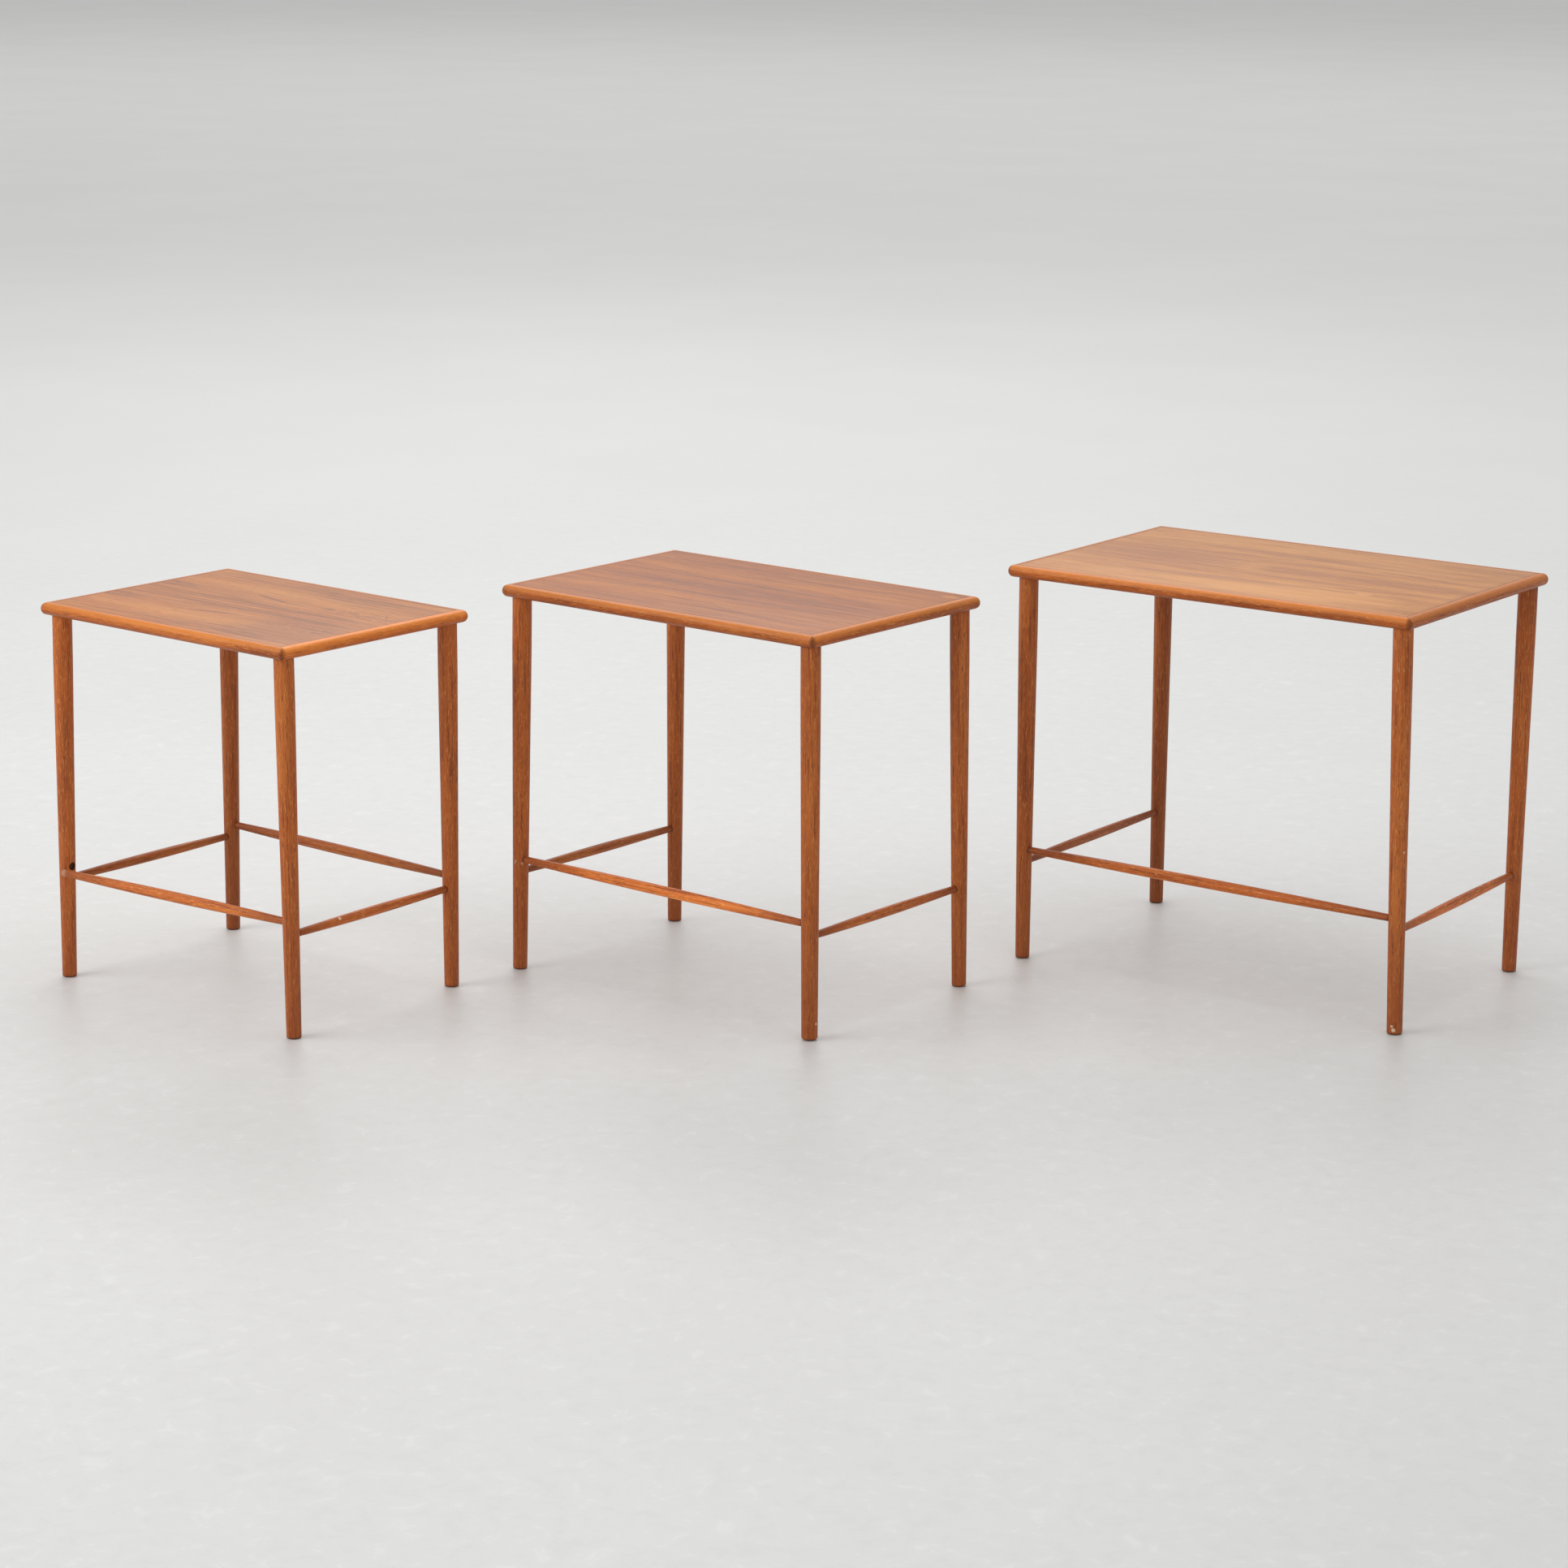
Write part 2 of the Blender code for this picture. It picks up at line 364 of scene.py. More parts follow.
class Teak:
    """Oiled solid teak: long soft streaks, dark growth lines, short pores and pale flecks."""

    def __init__(self, name, node, seed, along="Z"):
        s = Shader(name)
        self.shader = s
        # The piece's tone, partly painted light
        self.tone = TONES_AND_LIGHT.get(node, 1.0)
        self.dark = toned(TEAK_DARK, self.tone)
        self.space = grain_space(s, along, seed)
        self.run = s.split(s.place())[0 if along == "X" else 2]
        light = toned(TEAK_LIGHT, self.tone)
        broad = s.noise(stretched(s, self.space, 0.10), 45.0, 3.0, 0.55, 0.3)
        self.lines = s.noise(stretched(s, self.space, 0.025), 460.0, 4.0, 0.62, 0.2)
        self.pores = s.noise(stretched(s, self.space, 0.05), 1350.0, 2.0, 0.5)
        flecks = s.noise(stretched(s, self.space, 0.13), 800.0, 2.0, 0.6)
        self.colour = toned(TEAK, self.tone)
        self.cover(s.step(broad, 0.50, 0.72, 0.0, 0.8), light)
        self.cover(s.step(broad, 0.46, 0.28, 0.0, 0.6), self.dark)
        self.cover(s.step(self.lines, 0.48, 0.32, 0.0, 0.85), self.dark)
        self.cover(s.step(self.lines, 0.54, 0.68, 0.0, 0.55), light)
        self.cover(s.step(self.pores, 0.40, 0.31, 0.0, 0.85), PORE_AND_SHADE)
        self.cover(s.step(flecks, 0.56, 0.68, 0.0, 0.65), toned(FLECK, self.tone))

    def cover(self, share, colour):
        self.colour = self.shader.blend(share, self.colour, colour)

    def from_middle(self):
        return self.shader.math("ABSOLUTE", self.run)

    def rub(self, strength):
        """Pale spots where the finish has worn off."""
        s = self.shader
        rubbed = s.noise(stretched(s, self.space, 0.35), 240.0, 4.0, 0.7)
        self.cover(s.step(rubbed, 0.60, 0.70, 0.0, strength), WORN)

    def paint_foot_shade(self):
        """Painted shade: darker towards the floor, with a painted contact shadow in a rim where it
        stands.
        """
        self.cover(self.shader.step(self.run, 0.0, 0.26, 0.42, 0.0), self.dark)
        self.cover(self.shader.step(self.run, 0.0004, 0.0030, 0.7, 0.0), PORE_AND_SHADE)

    def darken_ends(self, half_length):
        share = self.shader.step(self.from_middle(), half_length * 0.40, half_length, 0.0, 0.60)
        self.cover(share, TEAK_DARK)

    def paint_joint_shadow(self, half_length):
        """Painted shadow in the crease between a stretcher and its leg."""
        start, full = half_length - 0.0090, half_length - 0.0055
        self.cover(self.shader.step(self.from_middle(), start, full, 0.0, 0.65), PORE_AND_SHADE)

    def chip(self, chips):
        s = self.shader
        for x, y, z, radius, strength in chips:
            reach = s.distance(s.vector("SUBTRACT", s.place(), (x, y, z)))
            self.cover(s.step(reach, radius * 0.6, radius, strength, 0.0), CHIPPED)

    def shade_strip(self, half_length):
        """An edge strip's lower side darkened by painted shade, its upper side lightened by a painted
        highlight, and dark ends at the mitres.
        """
        s = self.shader
        height = s.split(s.place())[2]
        # Painted shade on the lower side
        self.cover(s.step(height, -0.0060, 0.0010, 0.45, 0.0), self.dark)
        # Painted highlight on the upper side
        upper = s.step(height, -0.0010, 0.0060, 0.0, 0.90)
        self.cover(upper, s.blend(0.62, self.colour, toned(PAINTED_TOP_LIGHT, self.tone)))
        wobble = s.math("MULTIPLY", s.noise(self.space, 260.0, 2.0), 0.004)
        near_end = s.math("ADD", self.from_middle(), wobble)
        share = s.step(near_end, half_length - 0.0058, half_length - 0.0012, 0.0, 0.62)
        self.cover(share, END_GRAIN)

    def finish(self, sheen=SATIN):
        s = self.shader
        specular, gloss = sheen
        s.surface.inputs["Specular IOR Level"].default_value = specular
        rough = s.step(self.lines, 0.25, 0.75, 0.50 - gloss, 0.38 - gloss)
        relief = s.math("MULTIPLY", self.lines, 0.7)
        height = s.math("ADD", relief, s.step(self.pores, 0.30, 0.40, 0.0, 0.6))
        return s.finish(self.colour, rough, s.bump(height, 0.35, 0.0002))


def leg_teak(name, node, seed):
    teak = Teak(name, node, seed)
    if node in LEG_WEAR:
        teak.rub(LEG_WEAR[node])
    teak.paint_foot_shade()
    teak.chip(CHIPS.get(node, ()))
    return teak.finish()


def stretcher_teak(name, node, seed, half_length):
    teak = Teak(name, node, seed)
    teak.darken_ends(half_length)
    if node != LOOSE:
        teak.paint_joint_shadow(half_length)
    teak.chip(CHIPS.get(node, ()))
    return teak.finish()


def lipping_teak(name, node, seed, half_length):
    teak = Teak(name, node, seed, "X")
    teak.shade_strip(half_length)
    return teak.finish(POLISHED)


# What the veneer of each top shows. Its two leaves mirror each other across a seam along the grain.
# A band is (distance from the seam, half width, start and end along the grain, change of distance
# over its length, strength). A mark is (along, across, half length, half width, strength).
VENEERS = {
    "large": {
        "seam": -0.0025,
        "specular": 0.36,
        "base": (0.57, 0.218, 0.048),
        "light": (0.72, 0.315, 0.074),
        "dark": (0.33, 0.105, 0.040),
        "dark_bands": [
            (0.006, 0.017, -0.270, -0.040, 0.004, 0.52),
            (0.010, 0.010, -0.030, 0.080, 0.0, 0.42),
            (0.056, 0.0035, -0.270, -0.020, 0.010, 0.50),
            (0.098, 0.006, -0.200, -0.020, 0.0, 0.28),
            (0.055, 0.0022, 0.110, 0.275, -0.024, 0.72),
            (0.008, 0.0030, 0.090, 0.275, 0.0, 0.45),
            (0.018, 0.0022, 0.120, 0.260, 0.004, 0.35),
            (0.150, 0.010, 0.150, 0.275, 0.0, 0.25),
        ],
        "light_bands": [
            (0.085, 0.016, 0.020, 0.200, 0.0, 0.60),
            (0.078, 0.0020, 0.020, 0.150, -0.008, 0.55),
            (0.135, 0.026, -0.250, 0.250, 0.0, 0.40),
        ],
        "figured": [],
        "light_marks": [(0.165, -0.083, 0.016, 0.012, 0.55), (0.10, -0.125, 0.20, 0.055, 0.40)],
        "dark_marks": [(0.262, -0.160, 0.005, 0.0045, 0.6), (-0.262, -0.168, 0.005, 0.003, 0.4),
                       (0.272, 0.0, 0.014, 0.160, 0.30), (-0.200, -0.020, 0.170, 0.210, 0.13)],
    },
    "medium": {
        "seam": -0.0055,
        "specular": 0.27,
        "base": (0.462, 0.140, 0.029),
        "light": (0.600, 0.208, 0.034),
        "dark": (0.235, 0.076, 0.040),
        "dark_bands": [
            (0.000, 0.020, -0.240, 0.245, 0.0, 0.55),
            (0.006, 0.007, -0.030, 0.160, 0.004, 0.45),
            (0.042, 0.0020, -0.245, 0.240, 0.002, 0.75),
            (0.030, 0.0018, -0.180, 0.120, 0.002, 0.40),
            (0.105, 0.0030, -0.040, 0.180, 0.002, 0.60),
            (0.124, 0.009, -0.240, 0.120, 0.008, 0.35),
            (0.142, 0.004, -0.140, 0.240, 0.0, 0.35),
        ],
        "light_bands": [
            (0.074, 0.018, -0.020, 0.240, 0.0, 0.50),
            (0.068, 0.016, -0.230, 0.000, 0.0, 0.45),
            (0.088, 0.003, -0.100, 0.220, 0.0, 0.40),
        ],
        "figured": [],
        "light_marks": [
            (0.222, 0.135, 0.018, 0.009, 0.85),
            (-0.109, -0.027, 0.0030, 0.0022, 1.0),
            (-0.100, -0.094, 0.0026, 0.0022, 1.0),
        ],
        "dark_marks": [(-0.115, -0.006, 0.030, 0.006, 0.45), (0.12, -0.090, 0.16, 0.075, 0.22)],
    },
    "small": {
        "seam": -0.0045,
        "specular": 0.31,
        "base": (0.520, 0.170, 0.038),
        "light": (0.660, 0.255, 0.050),
        "dark": (0.20, 0.066, 0.029),
        "dark_bands": [
            (0.0150, 0.0022, -0.212, 0.212, 0.0010, 0.85),
            (0.0070, 0.0018, -0.200, 0.140, 0.0010, 0.60),
            (0.0110, 0.0012, -0.120, 0.212, 0.0020, 0.45),
            (0.0240, 0.0014, -0.060, 0.200, 0.0, 0.35),
            (0.0510, 0.0022, -0.050, 0.026, -0.018, 0.85),
            (0.0450, 0.0016, -0.020, 0.050, -0.006, 0.55),
            (0.0520, 0.0040, -0.216, -0.150, -0.006, 0.60),
            (0.1240, 0.0050, -0.180, 0.200, 0.0, 0.30),
            (0.1380, 0.0020, -0.200, 0.120, 0.0, 0.35),
        ],
        "light_bands": [
            (0.0850, 0.0220, -0.180, 0.200, 0.0, 0.50),
            (0.0360, 0.0080, -0.150, 0.060, 0.0, 0.40),
        ],
        "figured": [(0.0520, 0.0180, 0.070, 0.212, 0.0, 1.0)],
        "light_marks": [(-0.050, -0.100, 0.0026, 0.0022, 1.0)],
        "dark_marks": [(0.036, 0.104, 0.018, 0.0022, 0.55), (0.085, 0.047, 0.012, 0.008, 0.5),
                       (0.140, -0.070, 0.110, 0.100, 0.34)],
    },
}


def band_sum(s, along, across, bands):
    """One mask from 0 to 1 that holds all the bands."""
    total = 0.0
    for centre, width, start, end, rise, strength in bands:
        middle = (start + end) / 2
        slope = rise / (end - start)
        line = s.math("ADD", s.math("MULTIPLY", s.math("SUBTRACT", along, middle), slope), centre)
        off = s.math("DIVIDE", s.math("SUBTRACT", across, line), width)
        hill = s.math("DIVIDE", 1.0, s.math("ADD", 1.0, s.math("POWER", s.math("ABSOLUTE", off), 3.0)))
        fade = (end - start) * 0.3
        head = s.step(along, start - fade / 2, start + fade)
        tail = s.step(along, end - fade, end + fade / 2, 1.0, 0.0)
        mask = s.math("MULTIPLY", s.math("MULTIPLY", hill, s.math("MULTIPLY", head, tail)), strength)
        total = s.math("MAXIMUM", total, mask)
    return total


def mark_sum(s, x, y, marks):
    """One mask from 0 to 1 that holds all the oval marks."""
    total = 0.0
    for centre_x, centre_y, half_x, half_y, strength in marks:
        off_x = s.math("DIVIDE", s.math("SUBTRACT", x, centre_x), half_x)
        off_y = s.math("DIVIDE", s.math("SUBTRACT", y, centre_y), half_y)
        reach = s.math("SQRT", s.math("ADD", s.math("POWER", off_x, 2.0), s.math("POWER", off_y, 2.0)))
        total = s.math("MAXIMUM", total, s.step(reach, 0.35, 1.0, strength, 0.0))
    return total


def veneer(name, table, seed, half_length, half_depth):
    """Satin teak veneer with the top's own figure, fine growth lines, open pores and a dark rim line."""
    facts = VENEERS[table]
    light = facts["light"]
    dark = facts["dark"]
    s = Shader(name)
    x, y, z = s.split(s.place())
    from_seam = s.math("ABSOLUTE", s.math("SUBTRACT", y, facts["seam"]))
    leaf = s.vector("ADD", s.join(x, from_seam, z), (seed * 1.37, seed * 0.71, seed * 0.53))
    own = s.vector("ADD", s.place(), (seed * 0.91, seed * 1.13, 0.0))
    sway = s.math("SUBTRACT", s.noise(stretched(s, leaf, 0.25), 9.0, 2.0, 0.5), 0.5)
    ripple = s.math("SUBTRACT", s.noise(stretched(s, leaf, 0.16), 60.0, 3.0, 0.6), 0.5)
    moved = s.math("ADD", s.math("MULTIPLY", sway, 0.009), s.math("MULTIPLY", ripple, 0.004))
    across = s.math("ADD", from_seam, moved)
    swayed = s.vector("ADD", leaf, s.join(0.0, s.math("MULTIPLY", sway, 0.03), 0.0))
    broad = s.noise(stretched(s, leaf, 0.12), 26.0, 3.0, 0.55, 0.4)
    streaks = s.noise(stretched(s, swayed, 0.03), 150.0, 3.0, 0.6, 0.1)
    lines = s.noise(stretched(s, swayed, 0.025), 420.0, 4.0, 0.65, 0.1)
    pores = s.noise(stretched(s, own, 0.07), 1100.0, 2.0, 0.6)
    flecks = s.noise(stretched(s, own, 0.15), 620.0, 2.0, 0.6)
    curl = s.noise(stretched(s, own, 0.55), 190.0, 3.0, 0.6, 1.6)
    colour = s.blend(s.step(broad, 0.46, 0.72, 0.0, 0.6), facts["base"], light)
    colour = s.blend(s.step(broad, 0.48, 0.30, 0.0, 0.35), colour, dark)
    colour = s.blend(band_sum(s, x, across, facts["light_bands"]), colour, light)
    colour = s.blend(band_sum(s, x, across, facts["dark_bands"]), colour, dark)
    colour = s.blend(s.step(streaks, 0.48, 0.32, 0.0, 0.50), colour, dark)
    colour = s.blend(s.step(lines, 0.48, 0.32, 0.0, 0.62), colour, dark)
    colour = s.blend(s.step(lines, 0.53, 0.68, 0.0, 0.60), colour, light)
    colour = s.blend(s.step(flecks, 0.56, 0.72, 0.0, 0.30), colour, light)
    colour = s.blend(s.step(pores, 0.40, 0.30, 0.0, 0.60), colour, toned(dark, 0.4))
    if facts["figured"]:
        region = band_sum(s, x, from_seam, facts["figured"])
        colour = s.blend(s.math("MULTIPLY", region, s.step(curl, 0.48, 0.36, 0.0, 0.7)), colour, dark)
        colour = s.blend(s.math("MULTIPLY", region, s.step(curl, 0.54, 0.66, 0.0, 0.6)), colour, light)
    colour = s.blend(mark_sum(s, x, y, facts["dark_marks"]), colour, dark)
    colour = s.blend(mark_sum(s, x, y, facts["light_marks"]), colour, toned(light, 1.1))
    rim_x = s.math("SUBTRACT", half_length, s.math("ABSOLUTE", x))
    rim_y = s.math("SUBTRACT", half_depth, s.math("ABSOLUTE", y))
    rim = s.step(s.math("MINIMUM", rim_x, rim_y), 0.0006, 0.0018, 0.65, 0.0)
    colour = s.blend(rim, colour, toned(dark, 0.5))
    s.surface.inputs["Specular IOR Level"].default_value = facts["specular"]
    rough = s.step(lines, 0.25, 0.75, 0.44, 0.35)
    height = s.math("ADD", s.math("MULTIPLY", lines, 0.6), s.step(pores, 0.30, 0.40, 0.0, 0.6))
    return s.finish(colour, rough, s.bump(height, 0.25, 0.00015))


def board(name, colour, seed):
    """Raw wood below the top: matt, with plain straight grain."""
    s = Shader(name)
    space = grain_space(s, "X", seed)
    lines = s.noise(stretched(s, space, 0.03), 260.0, 4.0, 0.6)
    broad = s.noise(stretched(s, space, 0.2), 20.0, 2.0)
    tone = s.blend(s.step(lines, 0.50, 0.30, 0.0, 0.6), colour, toned(colour, 0.6))
    tone = s.blend(s.step(broad, 0.45, 0.7, 0.0, 0.35), tone, toned(colour, 1.3))
    return s.finish(tone, s.step(lines, 0.3, 0.7, 0.75, 0.6), s.bump(lines, 0.3, 0.0003))


def painted_socket_shade(name):
    """Painted shade inside the empty hole: very dark, mottled wood."""
    s = Shader(name)
    rough = s.noise(s.place(), 700.0, 3.0, 0.6)
    colour = s.blend(s.step(rough, 0.35, 0.65), HOLE_DARK, HOLE_LIGHT)
    return s.finish(colour, s.step(rough, 0.3, 0.7, 0.8, 0.65), s.bump(rough, 0.3, 0.0003))


def studio_floor(name):
    """Pale sealed floor with a very faint mottling, whose grit fades out away from the tables."""
    s = Shader(name)
    place = s.place()
    clouds = s.noise(place, 1.4, 3.0, 0.6)
    grit = s.noise(place, 38.0, 5.0, 0.7, 0.6)
    near = s.step(s.distance(place), 1.8, 4.5, 1.0, 0.0)
    colour = s.blend(s.step(clouds, 0.30, 0.70), FLOOR_DARK, FLOOR_LIGHT)
    colour = s.blend(s.math("MULTIPLY", near, s.step(grit, 0.50, 0.66, 0.0, 0.40)), colour, GRIT_DARK)
    colour = s.blend(s.math("MULTIPLY", near, s.step(grit, 0.44, 0.34, 0.0, 0.35)), colour, GRIT_LIGHT)
    s.surface.inputs["Specular IOR Level"].default_value = 0.28
    return s.finish(colour, s.step(grit, 0.3, 0.7, 0.38, 0.44), s.bump(grit, 0.05, 0.001))


# ---------------------------------------------------------------- mesh helpers


def new_piece(name, bm, material, matrix):
    mesh = bpy.data.meshes.new(name)
    bmesh.ops.recalc_face_normals(bm, faces=bm.faces)
    bm.to_mesh(mesh)
    bm.free()
    mesh.shade_smooth()
    mesh.set_sharp_from_angle(angle=SHARP_ANGLE)
    mesh.materials.append(material)
    piece = bpy.data.objects.new(name, mesh)
    bpy.context.scene.collection.objects.link(piece)
    piece.matrix_world = matrix
    return piece


def turned_bmesh(radii, steps):
    """A solid turned about Z from a list of (radius, height), from its top end to its bottom end."""
    bm = bmesh.new()
    rings = []
    for radius, height in radii:
        turn = [2 * math.pi * i / steps for i in range(steps)]
        rings.append([bm.verts.new((radius * math.cos(a), radius * math.sin(a), height)) for a in turn])
    for upper, lower in zip(rings, rings[1:]):
        for i in range(steps):
            j = (i + 1) % steps
            bm.faces.new((upper[i], lower[i], lower[j], upper[j]))
    bm.faces.new(rings[0])
    bm.faces.new(list(reversed(rings[-1])))
    return bm


def rounded_end(radius, rounding, end, inward):
    """Points of a rounded rim, from the flat end's edge to the full radius."""
    points = []
    for i in range(ROUNDING_STEPS + 1):
        angle = math.pi / 2 * i / ROUNDING_STEPS
        inset = rounding * (1 - math.sin(angle))
        rise = rounding * (1 - math.cos(angle))
        points.append((radius - inset, end + inward * rise))
    return points


def frame_matrix(origin, x_axis, y_axis, z_axis):
    matrix = Matrix((x_axis, y_axis, z_axis)).transposed().to_4x4()
    matrix.translation = origin
    return matrix


def carve(piece, tool):
    """Cuts the tool out of the piece for good, and removes the tool."""
    modifier = piece.modifiers.new("hole", "BOOLEAN")
    modifier.operation = "DIFFERENCE"
    modifier.solver = "EXACT"
    modifier.material_mode = "TRANSFER"
    modifier.object = tool
    bpy.context.view_layer.update()
    evaluated = piece.evaluated_get(bpy.context.evaluated_depsgraph_get())
    mesh = bpy.data.meshes.new_from_object(evaluated)
    piece.modifiers.clear()
    piece.data = mesh
    mesh.set_sharp_from_angle(angle=SHARP_ANGLE)
    bpy.data.objects.remove(tool)


def centre_of(node):
    low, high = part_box(node)
    return (Vector(low) + Vector(high)) / 2


# ---------------------------------------------------------------- a table's own frame


class Table:
    """Where a table stands, read from its legs, and its sizes."""

    def __init__(self, name):
        self.name = name
        self.body = f"{name}_table"
        self.corner = {leg: centre_of(f"{name}_{leg}_leg") for leg in LEGS}
        self.u = (self.corner["front_right"] - self.corner["front_left"]).normalized()
        self.v = Vector((-self.u.y, self.u.x, 0))
        centre = sum(self.corner.values(), Vector()) / 4
        self.centre = Vector((centre.x, centre.y, 0))
        self.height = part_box(f"{name}_top_veneer")[1][2]
        across = self.corner["front_right"] - self.corner["front_left"]
        deep = self.corner["back_left"] - self.corner["front_left"]
        self.length = across.length + 2 * LEG_INSET
        self.depth = deep.length + 2 * LEG_INSET
        self.shoulder = self.height - TOP_THICKNESS - GAP

    def at(self, along, across, height):
        return self.centre + self.u * along + self.v * across + UP * height

    def leg_point(self, leg, height):
        """A point on a leg's axis, which leans a little."""
        upright = Vector((self.corner[leg].x, self.corner[leg].y, 0))
        top_u, foot_u, foot_v = LEANS[self.name][leg]
        top = upright + self.u * top_u / 1000 + UP * self.shoulder
        foot = upright + (self.u * foot_u + self.v * foot_v) / 1000
        return foot + (top - foot) * (height / self.shoulder)


# ---------------------------------------------------------------- the pieces


def make_leg(table, leg, seed):
    top = table.leg_point(leg, table.shoulder)
    foot = table.leg_point(leg, 0)
    axis = (top - foot).normalized()
    length = (top - foot).length
    taper = length * TAPER_START
    node = f"{table.name}_{leg}_leg"
    foot_radius, rounding = FEET.get(node, (FOOT_RADIUS, FOOT_ROUNDING))
    rings = [(LEG_RADIUS, length), (LEG_RADIUS, length - TOP_RIM)]
    for i in range(LEG_RINGS + 1):
        share = 1 - i / LEG_RINGS
        height = rounding + (length - TOP_BAND - rounding) * share
        slim = max(0.0, (taper - height) / taper)
        rings.append((LEG_RADIUS - (LEG_RADIUS - foot_radius) * slim, height))
    rings += list(reversed(rounded_end(foot_radius, rounding, 0, 1)))[1:]
    bm = turned_bmesh(rings, LEG_SIDES)
    name = f"{table.name}_{leg}_turned_leg"
    material = leg_teak(name + "_teak", node, seed)
    x_axis = table.u - axis * table.u.dot(axis)
    x_axis.normalize()
    piece = new_piece(name, bm, material, frame_matrix(foot, x_axis, axis.cross(x_axis), axis))
    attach(piece, table.body)
    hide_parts(node)
    return piece


def stretcher_ends(table, side):
    """Both ends, by the axes of the legs as they lean. A front stretcher meets its left leg a little
    high and forward, and the loose one has come out of that leg.
    """
    first, last = STRETCHERS[side]
    level = LONG_HEIGHT if side in ("front", "back") else SHORT_HEIGHT
    start = table.leg_point(first, level)
    end = table.leg_point(last, level)
    if side == "front":
        end += UP * HOLE_RAISED - table.v * HOLE_FORWARD
    along = (end - start).normalized()
    start += along * END_TO_LEG_AXIS
    end -= along * END_TO_LEG_AXIS
    if f"{table.name}_{side}_stretcher" == LOOSE:
        length = (end - start).length
        start -= along * LOOSE_PUSHED
        moved = -table.v * LOOSE_FORWARD - UP * LOOSE_DOWN
        end = start + along * math.sqrt(length**2 - moved.length_squared) + moved
    return start, end


def make_stretcher(table, side, seed):
    start, end = stretcher_ends(table, side)
    axis = (start - end).normalized()
    length = (start - end).length
    middle = LONG_MIDDLE if side in ("front", "back") else SHORT_MIDDLE
    rings = rounded_end(END_RADIUS, END_ROUNDING, length, -1)
    for i in range(1, STRETCHER_RINGS):
        height = length - END_ROUNDING - (length - 2 * END_ROUNDING) * i / STRETCHER_RINGS
        inner = min(1.0, max(0.0, (height - STRAIGHT_END) / (length - 2 * STRAIGHT_END)))
        swell = math.sin(math.pi * inner) ** SWELL_POWER if 0 < inner < 1 else 0.0
        rings.append((END_RADIUS + (middle - END_RADIUS) * swell, height))
    rings += list(reversed(rounded_end(END_RADIUS, END_ROUNDING, 0, 1)))
    bm = turned_bmesh(rings, STRETCHER_SIDES)
    bmesh.ops.translate(bm, vec=(0, 0, -length / 2), verts=bm.verts)
    name = f"{table.name}_{side}_spindle"
    node = f"{table.name}_{side}_stretcher"
    material = stretcher_teak(name + "_teak", node, seed, length / 2)
    x_axis = UP.cross(axis).normalized()
    matrix = frame_matrix((start + end) / 2, x_axis, axis.cross(x_axis), axis)
    piece = new_piece(name, bm, material, matrix)
    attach(piece, table.body)
    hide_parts(node)


def make_hole(table, leg):
    """A cutter for the empty socket that the loose stretcher has left, along the table."""
    axis_point = table.leg_point(leg, LONG_HEIGHT + HOLE_RAISED)
    depth = 2 * LEG_RADIUS
    bm = bmesh.new()
    bmesh.ops.create_cone(
        bm, cap_ends=True, segments=HOLE_SIDES, radius1=HOLE_RADIUS, radius2=HOLE_RADIUS, depth=depth
    )
    middle = axis_point + table.u * (END_TO_LEG_AXIS + depth / 2)
    matrix = frame_matrix(middle, UP, table.u.cross(UP), table.u)
    # The cutter's material, carried onto the hole's walls, is the painted shade
    return new_piece("hole_tool", bm, painted_socket_shade("painted_socket_shade"), matrix)


def trim(bm, point, outward):
    """Cuts off what lies outward of the plane through the point, and closes the cut."""
    everything = bm.verts[:] + bm.edges[:] + bm.faces[:]
    found = bmesh.ops.bisect_plane(
        bm, geom=everything, plane_co=point, plane_no=outward, clear_outer=True
    )
    rim = [item for item in found["geom_cut"] if isinstance(item, bmesh.types.BMEdge)]
    bmesh.ops.holes_fill(bm, edges=rim)


def make_lipping(table, side, seed):
    """A half-round edge strip, mitred at both ends, with its own X along the grain and Y inward. It is
    cut from a wider blank, whose own edges are all rounded.
    """
    outward = Vector((*SIDES[side], 0))
    lengthwise = side in ("front", "back")
    run = table.length if lengthwise else table.depth
    bm = bmesh.new()
    bmesh.ops.create_cube(bm, size=1.0)
    bmesh.ops.scale(bm, vec=(run, BLANK_WIDTH, TOP_THICKNESS), verts=bm.verts)
    bmesh.ops.bevel(
        bm, geom=bm.edges[:], offset=EDGE_RADIUS, segments=EDGE_STEPS, profile=0.5, affect="EDGES"
    )
    bmesh.ops.translate(bm, vec=(0, BLANK_WIDTH / 2, 0), verts=bm.verts)
    trim(bm, Vector((0, LIPPING_WIDTH, 0)), Vector((0, 1, 0)))
    for end in (1, -1):
        mitre = Vector((end, 1, 0)).normalized()
        corner = Vector((end * run / 2, 0, 0))
        trim(bm, corner - mitre * MITRE_GAP, mitre)
    bmesh.ops.translate(bm, vec=(0, -LIPPING_WIDTH / 2, 0), verts=bm.verts)
    out = table.u * outward.x + table.v * outward.y
    reach = (table.depth if lengthwise else table.length) / 2 - LIPPING_WIDTH / 2
    height = table.height - TOP_THICKNESS / 2
    origin = table.centre + out * reach + UP * height
    y_axis = -out
    x_axis = y_axis.cross(UP)
    name = f"{table.name}_{side}_edge_strip"
    node = f"{table.name}_{side}_lipping"
    material = lipping_teak(name + "_teak", node, seed, run / 2)
    piece = new_piece(name, bm, material, frame_matrix(origin, x_axis, y_axis, UP))
    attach(piece, table.body)
    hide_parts(node)


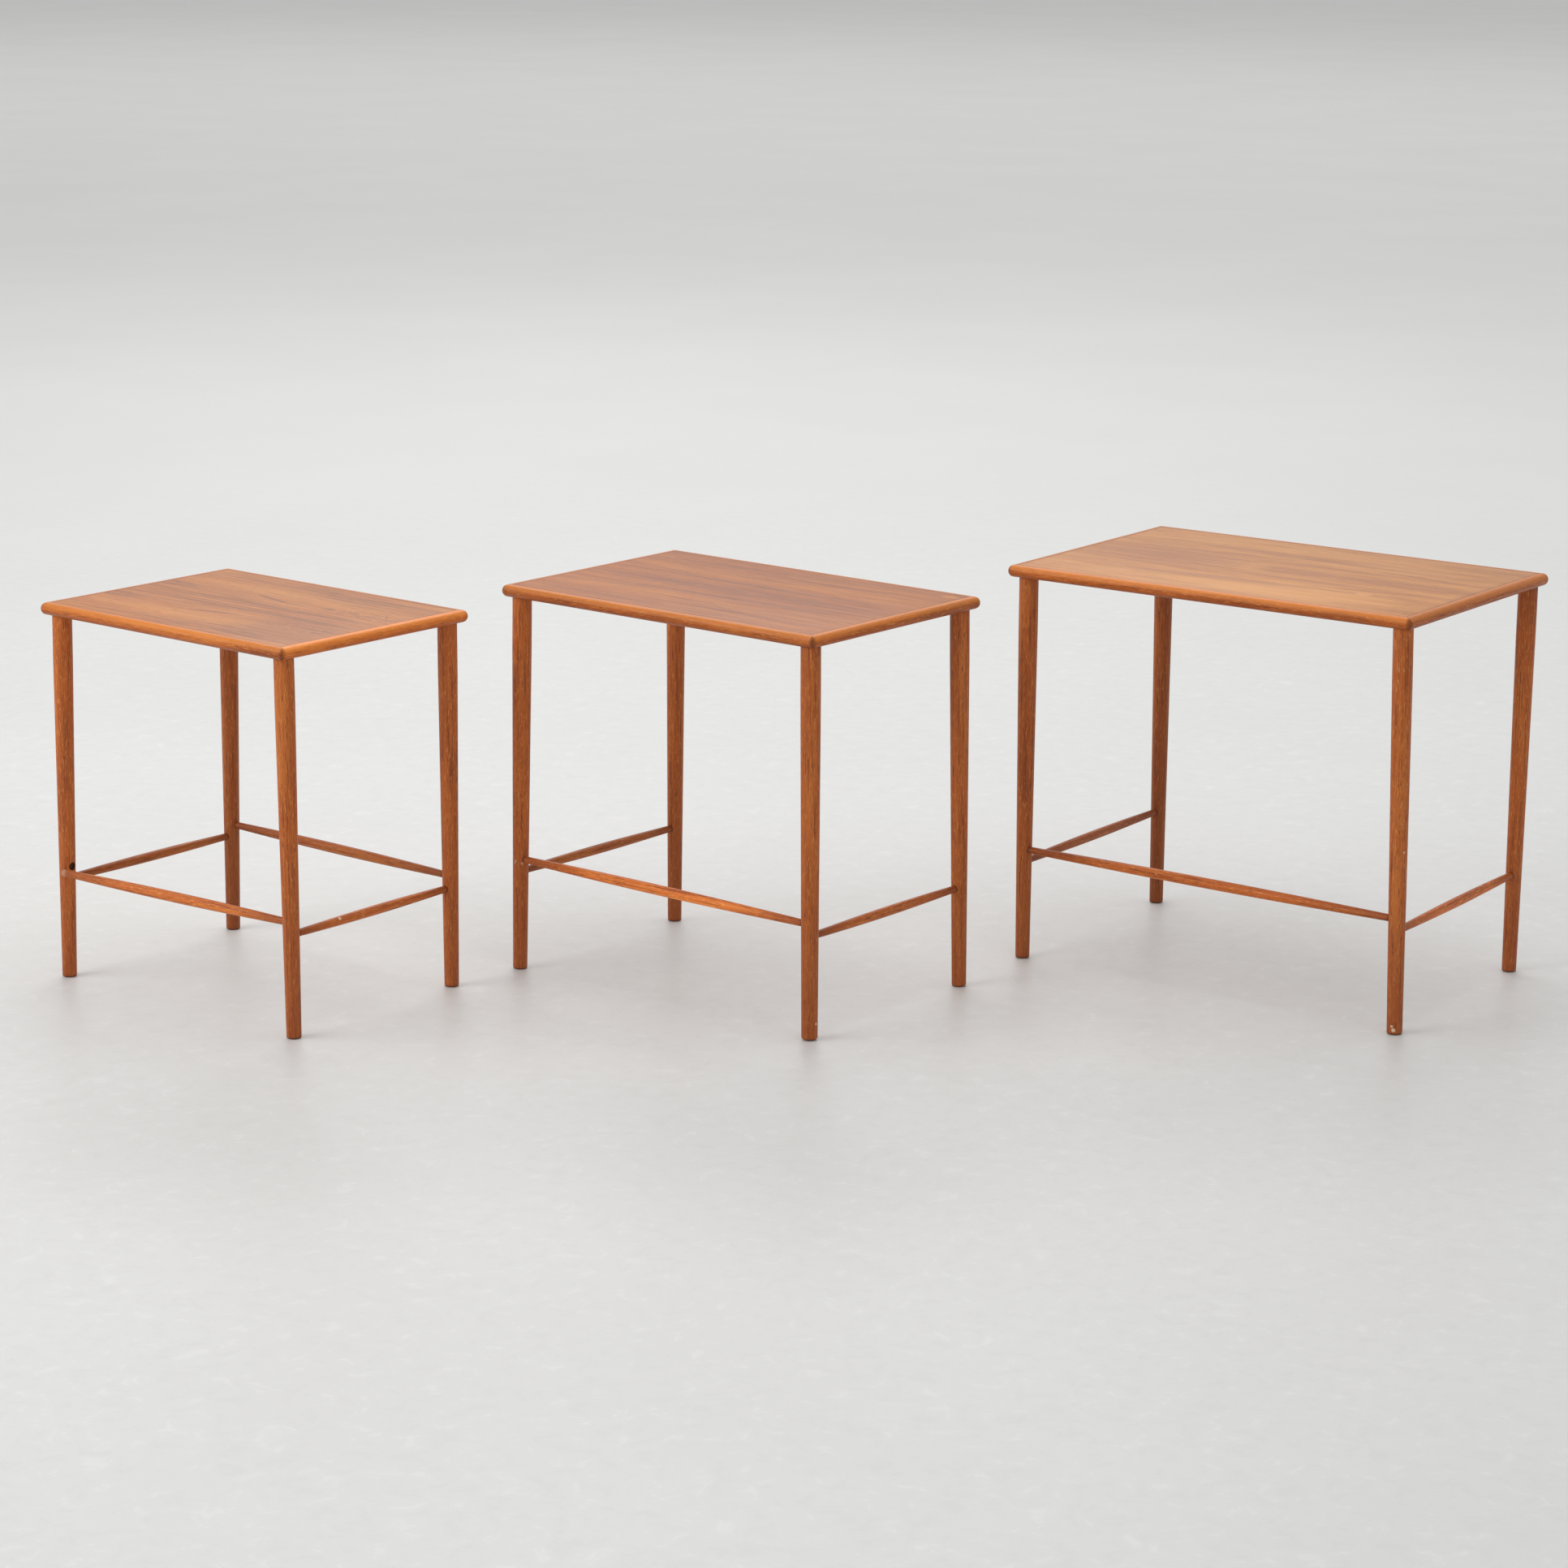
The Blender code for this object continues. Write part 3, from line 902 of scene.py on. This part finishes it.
def make_veneer(table, seed):
    """The figured leaf, let in between the lippings, with a fine dark line round it."""
    bm = bmesh.new()
    inner = 2 * (LIPPING_WIDTH + LEAF_GAP)
    low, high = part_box(f"{table.name}_top_veneer")
    thickness = high[2] - low[2]
    bmesh.ops.create_cube(bm, size=1.0)
    size = (table.length - inner, table.depth - inner, thickness)
    bmesh.ops.scale(bm, vec=size, verts=bm.verts)
    rim = [e for e in bm.edges if all(v.co.z > 0 for v in e.verts)]
    bmesh.ops.bevel(
        bm, geom=rim, offset=LEAF_EDGE, segments=LEAF_EDGE_STEPS, profile=0.5, affect="EDGES"
    )
    name = f"{table.name}_veneer_leaf"
    material = veneer(name + "_teak", table.name, seed, size[0] / 2, size[1] / 2)
    origin = table.at(0, 0, table.height - thickness / 2)
    matrix = frame_matrix(origin, table.u, table.v, UP)
    piece = new_piece(name, bm, material, matrix)
    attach(piece, table.body)
    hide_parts(f"{table.name}_top_veneer")


def dress_boards(table, seed):
    """The hidden core and the sheet below it keep their CAD shapes."""
    for i, (node, colour) in enumerate((("top_core", CORE_WOOD), ("under_veneer", UNDER_WOOD))):
        material = board(f"{table.name}_{node}_wood", colour, seed + i)
        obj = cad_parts[f"{table.name}_{node}"]
        obj.data.materials.clear()
        obj.data.materials.append(material)


def make_table(name, seed):
    """All pieces of one table. Each has a seed of its own, so that no two show the same wood."""
    table = Table(name)
    make_veneer(table, seed)
    dress_boards(table, seed + 1)
    for i, side in enumerate(SIDES):
        make_lipping(table, side, seed + 3 + i)
    legs = {}
    for i, leg in enumerate(LEGS):
        legs[leg] = make_leg(table, leg, seed + 10 + i)
    for i, side in enumerate(STRETCHERS):
        if f"{name}_{side}_stretcher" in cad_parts:
            make_stretcher(table, side, seed + 20 + i)
    if name == "small":
        carve(legs["front_left"], make_hole(table, "front_left"))


# ---------------------------------------------------------------- studio


def make_floor():
    bm = bmesh.new()
    bmesh.ops.create_circle(bm, cap_ends=True, segments=FLOOR_SIDES, radius=FLOOR_RADIUS)
    low = Matrix.Translation((0, 0, -FLOOR_DROP))
    floor = new_piece("studio_floor", bm, studio_floor("studio_floor"), low)


def area_light(name, place, target, size, power):
    data = bpy.data.lights.new(name, "AREA")
    data.shape = "RECTANGLE"
    data.size, data.size_y = size
    data.energy = power
    light = bpy.data.objects.new(name, data)
    bpy.context.scene.collection.objects.link(light)
    light.location = place
    light.visible_camera = False
    light.rotation_mode = "QUATERNION"
    light.rotation_quaternion = (Vector(target) - Vector(place)).to_track_quat("-Z", "Y")


def make_lights():
    world = bpy.data.worlds.new("studio")
    bpy.context.scene.world = world
    world.use_nodes = True
    background = world.node_tree.nodes["Background"]
    background.inputs["Color"].default_value = SKY_COLOUR
    background.inputs["Strength"].default_value = SKY_STRENGTH
    for name, (place, target, size, power) in LIGHTS.items():
        area_light(name, place, target, size, power)


def make_camera():
    data = bpy.data.cameras.new("camera")
    data.sensor_width = CAMERA_SENSOR
    data.lens = CAMERA_LENS
    data.shift_y = CAMERA_SHIFT
    data.clip_end = CAMERA_REACH
    camera = bpy.data.objects.new("camera", data)
    bpy.context.scene.collection.objects.link(camera)
    camera.location = CAMERA_PLACE
    turn = Matrix.Rotation(math.radians(CAMERA_HEADING), 4, "Z")
    tilt = Matrix.Rotation(math.radians(90 - CAMERA_PITCH), 4, "X")
    roll = Matrix.Rotation(math.radians(CAMERA_ROLL), 4, "Z")
    camera.rotation_euler = (turn @ tilt @ roll).to_euler()
    bpy.context.scene.camera = camera


make_camera()
make_floor()
make_lights()
for index, table_name in enumerate(TABLES):
    make_table(table_name, 1 + SEED_STEP * index)
bpy.context.scene.view_settings.view_transform = "Standard"

bpy.context.view_layer.update()
